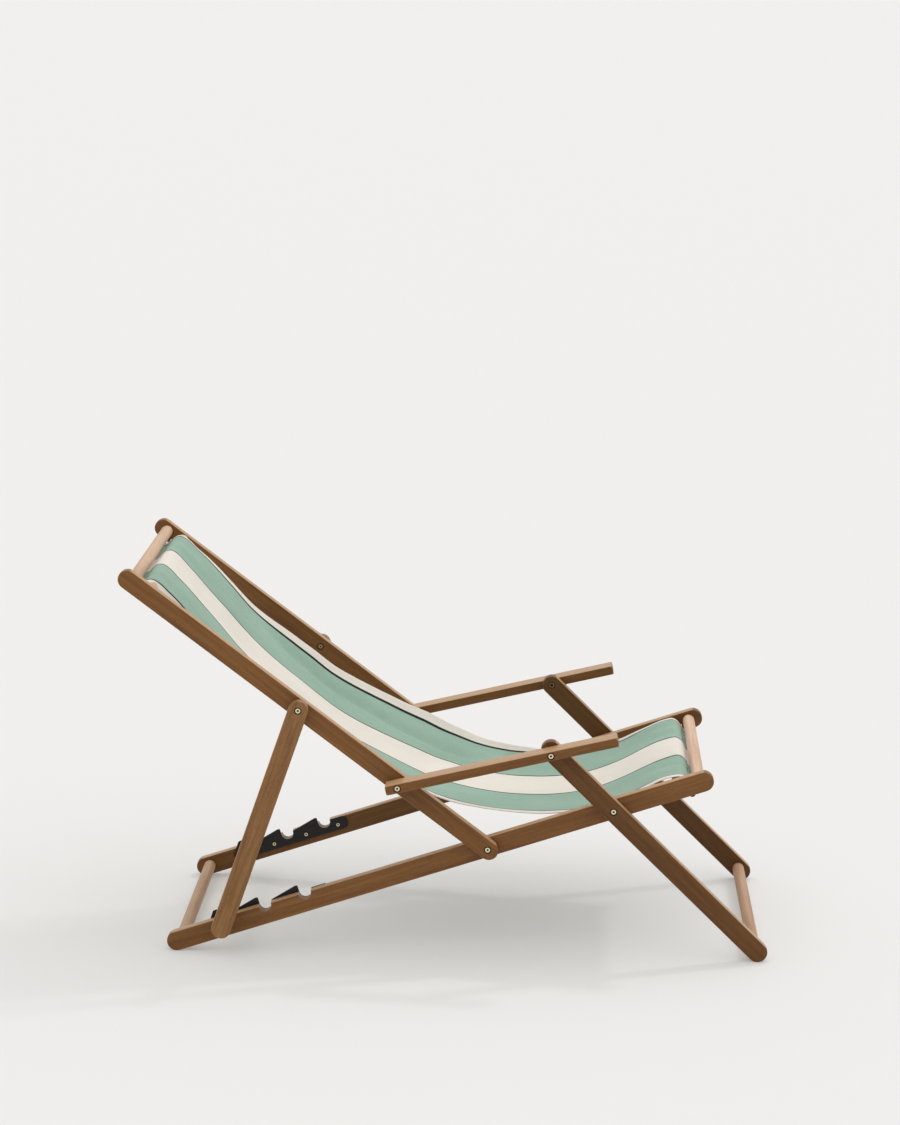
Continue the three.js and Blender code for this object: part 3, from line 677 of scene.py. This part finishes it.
def folds(run, y):
    """Small waves: buckles along the back, tension folds fading from each rung, a flutter at the
    edges, and one soft crease that runs down the left stripe."""
    share = y / HALF_WIDTH
    free = window(run, 0.16, along[-1] - 0.16, 0.10)
    buckle = (0.0016 * np.sin(run * 15 + 5 * share + 0.6) * np.cos(share * 3.1 - 0.5)
              + 0.0011 * np.sin(run * 27 - 7 * share + 2.1) * share)
    from_back = np.clip(run - BACK_TOP, 0, None)
    from_seat = np.clip(SEAT_TOP - run, 0, None)
    fan_back = (0.0011 * np.sin(share * 21 + 1.1 + 4 * from_back)
                * np.exp(-((from_back - 0.05) / 0.05) ** 2))
    fan_seat = (0.0014 * np.sin(share * 24 + 0.3 - 6 * from_seat)
                * np.exp(-((from_seat - 0.045) / 0.045) ** 2))
    flutter = 0.0018 * share**6 * np.sin(run * 31 + 2 * np.sign(share)) * free
    x = np.interp(run, along, middle_line[:, 0])
    crease_at = np.interp(x, (-0.38, 0.02), (0.190, 0.150))
    crease = (-CREASE_DEPTH * np.exp(-((y - crease_at) / CREASE_WIDTH) ** 2)
              * window(x, -0.34, 0.0, 0.10))
    return free * buckle + fan_back + fan_seat + flutter + crease


def across_profile():
    """Places across the cloth, from the end of one hem to the end of the other: where they lie
    (y), how far below the cloth's middle surface (drop), and the distance over the cloth itself."""
    bend = np.linspace(0, np.pi, 7)
    turn_y, turn_drop = HALF_WIDTH - FOLD_R * (1 - np.sin(bend)), FOLD_R * (1 - np.cos(bend))
    hem_y = np.linspace(HALF_WIDTH - FOLD_R, HALF_WIDTH - HEM, 5)[1:]
    right_y = np.concatenate((turn_y, hem_y))
    right_drop = np.concatenate((turn_drop, np.full(4, 2 * FOLD_R)))
    flat = np.linspace(-HALF_WIDTH + FOLD_R, HALF_WIDTH - FOLD_R, 119)[1:-1]
    y = np.concatenate((-right_y[::-1], flat, right_y))
    drop = np.concatenate((right_drop[::-1], np.zeros(len(flat)), right_drop))
    over = np.concatenate(([0], np.cumsum(np.hypot(np.diff(y), np.diff(drop)))))
    return y, drop, over - over[-1] / 2


EDGE_SHARE, LEFT_CURL, DRAW_IN = 0.924, 2.5, 0.65
FRONT_FROM = 0.4
line_x, line_z = middle_line.T
TOP_RIDGE = along[np.argmax(line_z)]
FRONT_RIDGE = along[np.argmax(np.where(line_x < FRONT_FROM, 0, line_z))]
TOP_SPREAD_OUT, FRONT_SPREAD_OUT = 0.055, 0.028


def swell(d, before, after):
    """1 at d = 0, falling as exp(-(d / width) squared) with its own width on each side."""
    return np.exp(-(d / np.where(d < 0, before, after)) ** 2)


def cross_section(run, w):
    """Where the point w metres from the middle of the cloth lies: how far across the chair, and how
    high above the middle line. With share = w / half width, height = lift * |share| to a power +
    tilt * share + folds, and the cloth draws in as it lifts. Over the two ridges it spreads out
    towards the rails, and on the left a higher power keeps the back flat and curls its edge. Beyond
    the start of a hem the strip stands up (on the left) or falls (on the right) by rise over its
    own width, past a soft bend: bend = (b + sqrt(b*b + soft*soft)) / 2 for b metres beyond it."""
    x = np.interp(run, along, middle_line[:, 0])
    share, lift = w / HALF_WIDTH, np.interp(x, LIFT_AT, LIFT)
    beyond = np.abs(w) - (HALF_WIDTH - HEM)
    bend = (beyond + np.hypot(beyond, RISE_SOFT)) / 2
    rise = np.where(w > 0, np.interp(x, RISE_AT, RISE), -np.interp(x, DROP_AT, DROP)) / HEM
    y = w * (1 - DRAW_IN * (lift / HALF_WIDTH) ** 2) - np.sign(w) * (1 - np.sqrt(1 - rise**2)) * bend
    y = y * (1 + TOP_SPREAD_OUT * swell(run - TOP_RIDGE, 0.018, 0.09)
             + FRONT_SPREAD_OUT * swell(run - FRONT_RIDGE, 0.07, 0.018))
    power = 2 + LEFT_CURL * window(x, -0.38, 0.02, 0.10) * (w > 0)
    height = (lift * EDGE_SHARE**2 * np.abs(share / EDGE_SHARE)**power
              + np.interp(x, LIFT_AT, TILT) * share + folds(run, w) + rise * bend)
    return y, height


def cloth_points(run, w, drop=0.0):
    """Point = middle line + normal * height + Y, then drop below along the sheet's own normal, which
    leans with the slope of the cross section. run and w may be any arrays of one shape."""
    x, z = (np.interp(run, along, middle_line[:, k]) for k in (0, 1))
    tangent = np.gradient(middle_line, along, axis=0)
    tx, tz = (np.interp(run, along, tangent[:, k]) for k in (0, 1))
    size = np.hypot(tx, tz)
    y, height = cross_section(run, w)
    (y0, h0), (y1, h1) = cross_section(run, w - MM / 2), cross_section(run, w + MM / 2)
    slope_size = np.hypot(y1 - y0, h1 - h0)
    y = y + drop * (h1 - h0) / slope_size
    height = height - drop * (y1 - y0) / slope_size
    return np.stack((x - tz / size * height, y, z + tx / size * height), -1)


# %% Build the sling
across_y, across_drop, across_over = across_profile()
run_grid, y_grid = np.meshgrid(along, across_y, indexing="ij")
grid = cloth_points(run_grid, y_grid, np.broadcast_to(across_drop, run_grid.shape))
sling = skin("canvas_sling", grid)
cloth_map = sling.data.uv_layers.new(name="cloth")
corner = np.empty(len(sling.data.loops), int)
sling.data.loops.foreach_get("vertex_index", corner)
places = np.stack((np.broadcast_to(across_over, run_grid.shape), run_grid), -1).reshape(-1, 2)
cloth_map.data.foreach_set("uv", places[corner].ravel())
wall = sling.modifiers.new("thickness", "SOLIDIFY")
wall.thickness, wall.offset = CLOTH, 0
print(len(sling.data.polygons), "faces in the sling before it gets its thickness")

# %% [markdown]
# ## Canvas
# The sling is plain-woven cotton: off-white, with two broad sage green stripes, each bordered by one
# dark thread. The line colour is near black, partly the thread's own and partly painted shadow, and
# beside the left hem the line is painted wider: painted shadow in the crease where the hem stands up.
# The stripes are woven in, so both faces show them. They follow the cloth's own map, which holds the
# distance across and along in metres. A plain weave is warp over weft, then weft over warp: each
# thread's height is the sine across it, and a checker of whole cells tells which thread is on top.
# Broader noise adds uneven yarn, a slight fading and the grime of use.

# %% The canvas material
GREEN, GREEN_DEEP = rgb(157, 185, 168), rgb(137, 167, 149)
CREAM, CREAM_WARM = rgb(236, 230, 221), rgb(224, 216, 203)
# Near-black line colour: the dark thread, darkened to stand also for the painted shadow in the crease
# by the left hem.
DARK_THREAD_AND_SHADOW = rgb(14, 21, 18)
CENTRE_STRIPE, SIDE_STRIPE, BORDER_HALF = 0.070, 0.220, 0.0022
# Yarn size, and how much wider the painted crease shadow makes the left outer line.
YARN, LEFT_CREASE_SHADOW = 0.0011, 0.0008

canvas, wire = new_material("striped_canvas")
cloth = wire.add("ShaderNodeUVMap", {"uv_map": "cloth"})
across, lengthwise = cloth.part("X"), cloth.part("Y")
reach = abs(across + (cloth.noise((60, 9, 1), 4) - 0.5) * 0.0008)
green = reach.ease(CENTRE_STRIPE - 0.0003, CENTRE_STRIPE + 0.0003) - reach.ease(
    SIDE_STRIPE - 0.0003, SIDE_STRIPE + 0.0003)
to_border = wire.maths("MINIMUM", abs(reach - CENTRE_STRIPE), abs(reach - SIDE_STRIPE))
# On the left side the outer line is painted wider: painted shadow in the crease where the hem stands
# up.
shadow_line = (across > 0.2) * LEFT_CREASE_SHADOW
thread_and_shadow = 1 - (to_border - shadow_line).ease(BORDER_HALF * 0.7, BORDER_HALF * 1.3)
yarn = cloth.noise((900, 60, 1), 1, detail=2) * 0.5 + cloth.noise((60, 900, 1), 2, detail=2) * 0.5
soiling = cloth.noise((7, 4, 1), 3, detail=3, rough=0.6)
shade = (yarn * 0.55 + soiling * 0.45).ease(0.35, 0.68)
colour = thread_and_shadow.mix(green.mix(shade.mix(CREAM_WARM, CREAM), shade.mix(GREEN_DEEP, GREEN)), DARK_THREAD_AND_SHADOW)
warp = abs(wire.maths("SINE", across * (math.pi / YARN)))
weft = abs(wire.maths("SINE", lengthwise * (math.pi / YARN)))
cells = wire.maths("FLOOR", across / YARN) + wire.maths("FLOOR", lengthwise / YARN)
on_top = wire.maths("FLOORED_MODULO", cells, 2.0)
weave = on_top * warp * (0.6 + weft * 0.4) + (1 - on_top) * weft * (0.6 + warp * 0.4)
surface(wire, colour, 0.82 + yarn * 0.12, weave * 0.8 + yarn * 0.5, 0.0003,
        Specular_IOR_Level=0.25, Sheen_Weight=0.12, Sheen_Roughness=0.5)
sling.data.materials.append(canvas)
print(len(canvas.node_tree.nodes), "nodes weave the canvas")

# %% [markdown]
# ## Stitches
# The hems are sewn down with a straight stitch close to their inner edge. A stitch is a small long
# bead that lies on the surface. All the beads of a seam are one mesh: one bead shape, repeated at
# every place by adding arrays.

# %% Sew the hems
STITCH_GAP, STITCH_LONG, STITCH_WIDE, STITCH_HIGH = 0.0044, 0.0016, 0.00042, 0.0003


def beads(places, forward, up):
    """For each place, an ellipsoid: place + forward*long*cos a + (side*wide*cos b + up*high*sin b)
    * sin a, over 5 steps of a and 6 of b, with its poles closed."""
    sideways = np.cross(forward, up)
    a = np.linspace(0.35, np.pi - 0.35, 5)[:, None, None]
    b = np.linspace(0, 2 * np.pi, 6, endpoint=False)[None, :, None]
    f, s, u = (v[:, None, None] for v in (forward, sideways, up))
    points = (places[:, None, None] + f * STITCH_LONG * np.cos(a)
              + (s * STITCH_WIDE * np.cos(b) + u * STITCH_HIGH * np.sin(b)) * np.sin(a))
    count = len(places)
    index = np.arange(count * 30).reshape(count, 5, 6)
    after = np.roll(index, -1, 2)
    sides = np.stack((index[:, :-1], index[:, 1:], after[:, 1:], after[:, :-1]), -1).reshape(-1, 4)
    ends = np.concatenate((index[:, 0], index[:, -1, ::-1]))
    return points.reshape(-1, 3), sides.tolist() + ends.tolist()


def sew(name, run, y):
    """Lays beads along the cloth, on its upper face, at (run, y)."""
    on_top = cloth_points(run, y, -CLOTH / 2 - STITCH_HIGH * 0.3)
    step = MM / 2
    ahead = cloth_points(run + step, y) - cloth_points(run - step, y)
    beside = cloth_points(run, y + step) - cloth_points(run, y - step)
    ahead /= np.linalg.norm(ahead, axis=1)[:, None]
    beside /= np.linalg.norm(beside, axis=1)[:, None]
    up = np.cross(ahead, beside)
    points, faces = beads(on_top, ahead, up)
    mesh = bpy.data.meshes.new(name)
    mesh.from_pydata(points, [], faces)
    mesh.polygons.foreach_set("use_smooth", np.ones(len(faces), bool))
    piece = bpy.data.objects.new(name, mesh)
    bpy.context.scene.collection.objects.link(piece)
    piece.data.materials.append(thread)
    return piece


thread, wire = new_material("cream_thread")
place = grain_space(wire, (0, 0, 0), (0, 0, 0))
twist = place.noise((1500, 1500, 1500), 5, detail=1)
surface(wire, twist.mix(rgb(206, 196, 178), rgb(238, 231, 218)), 0.7 + twist * 0.15, twist, 0.0001)

hem_run = np.arange(0.05, along[-1] - 0.05, STITCH_GAP)
hem_y = HALF_WIDTH - HEM + 0.003
hem_stitches = sew("hem_stitches", np.tile(hem_run, 2),
                   np.repeat((hem_y, -hem_y), len(hem_run)))
print(len(hem_run) * 2, "stitches in the hems")

# %% Bake the cloth and its stitches in place, and hide the CAD sling
BLEND_HALF = 0.14
for piece in (sling, hem_stitches):
    pivot[0] - BLEND_HALF
    pivot[0] + BLEND_HALF
    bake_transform(piece)
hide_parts("sling_back", "sling_seat")
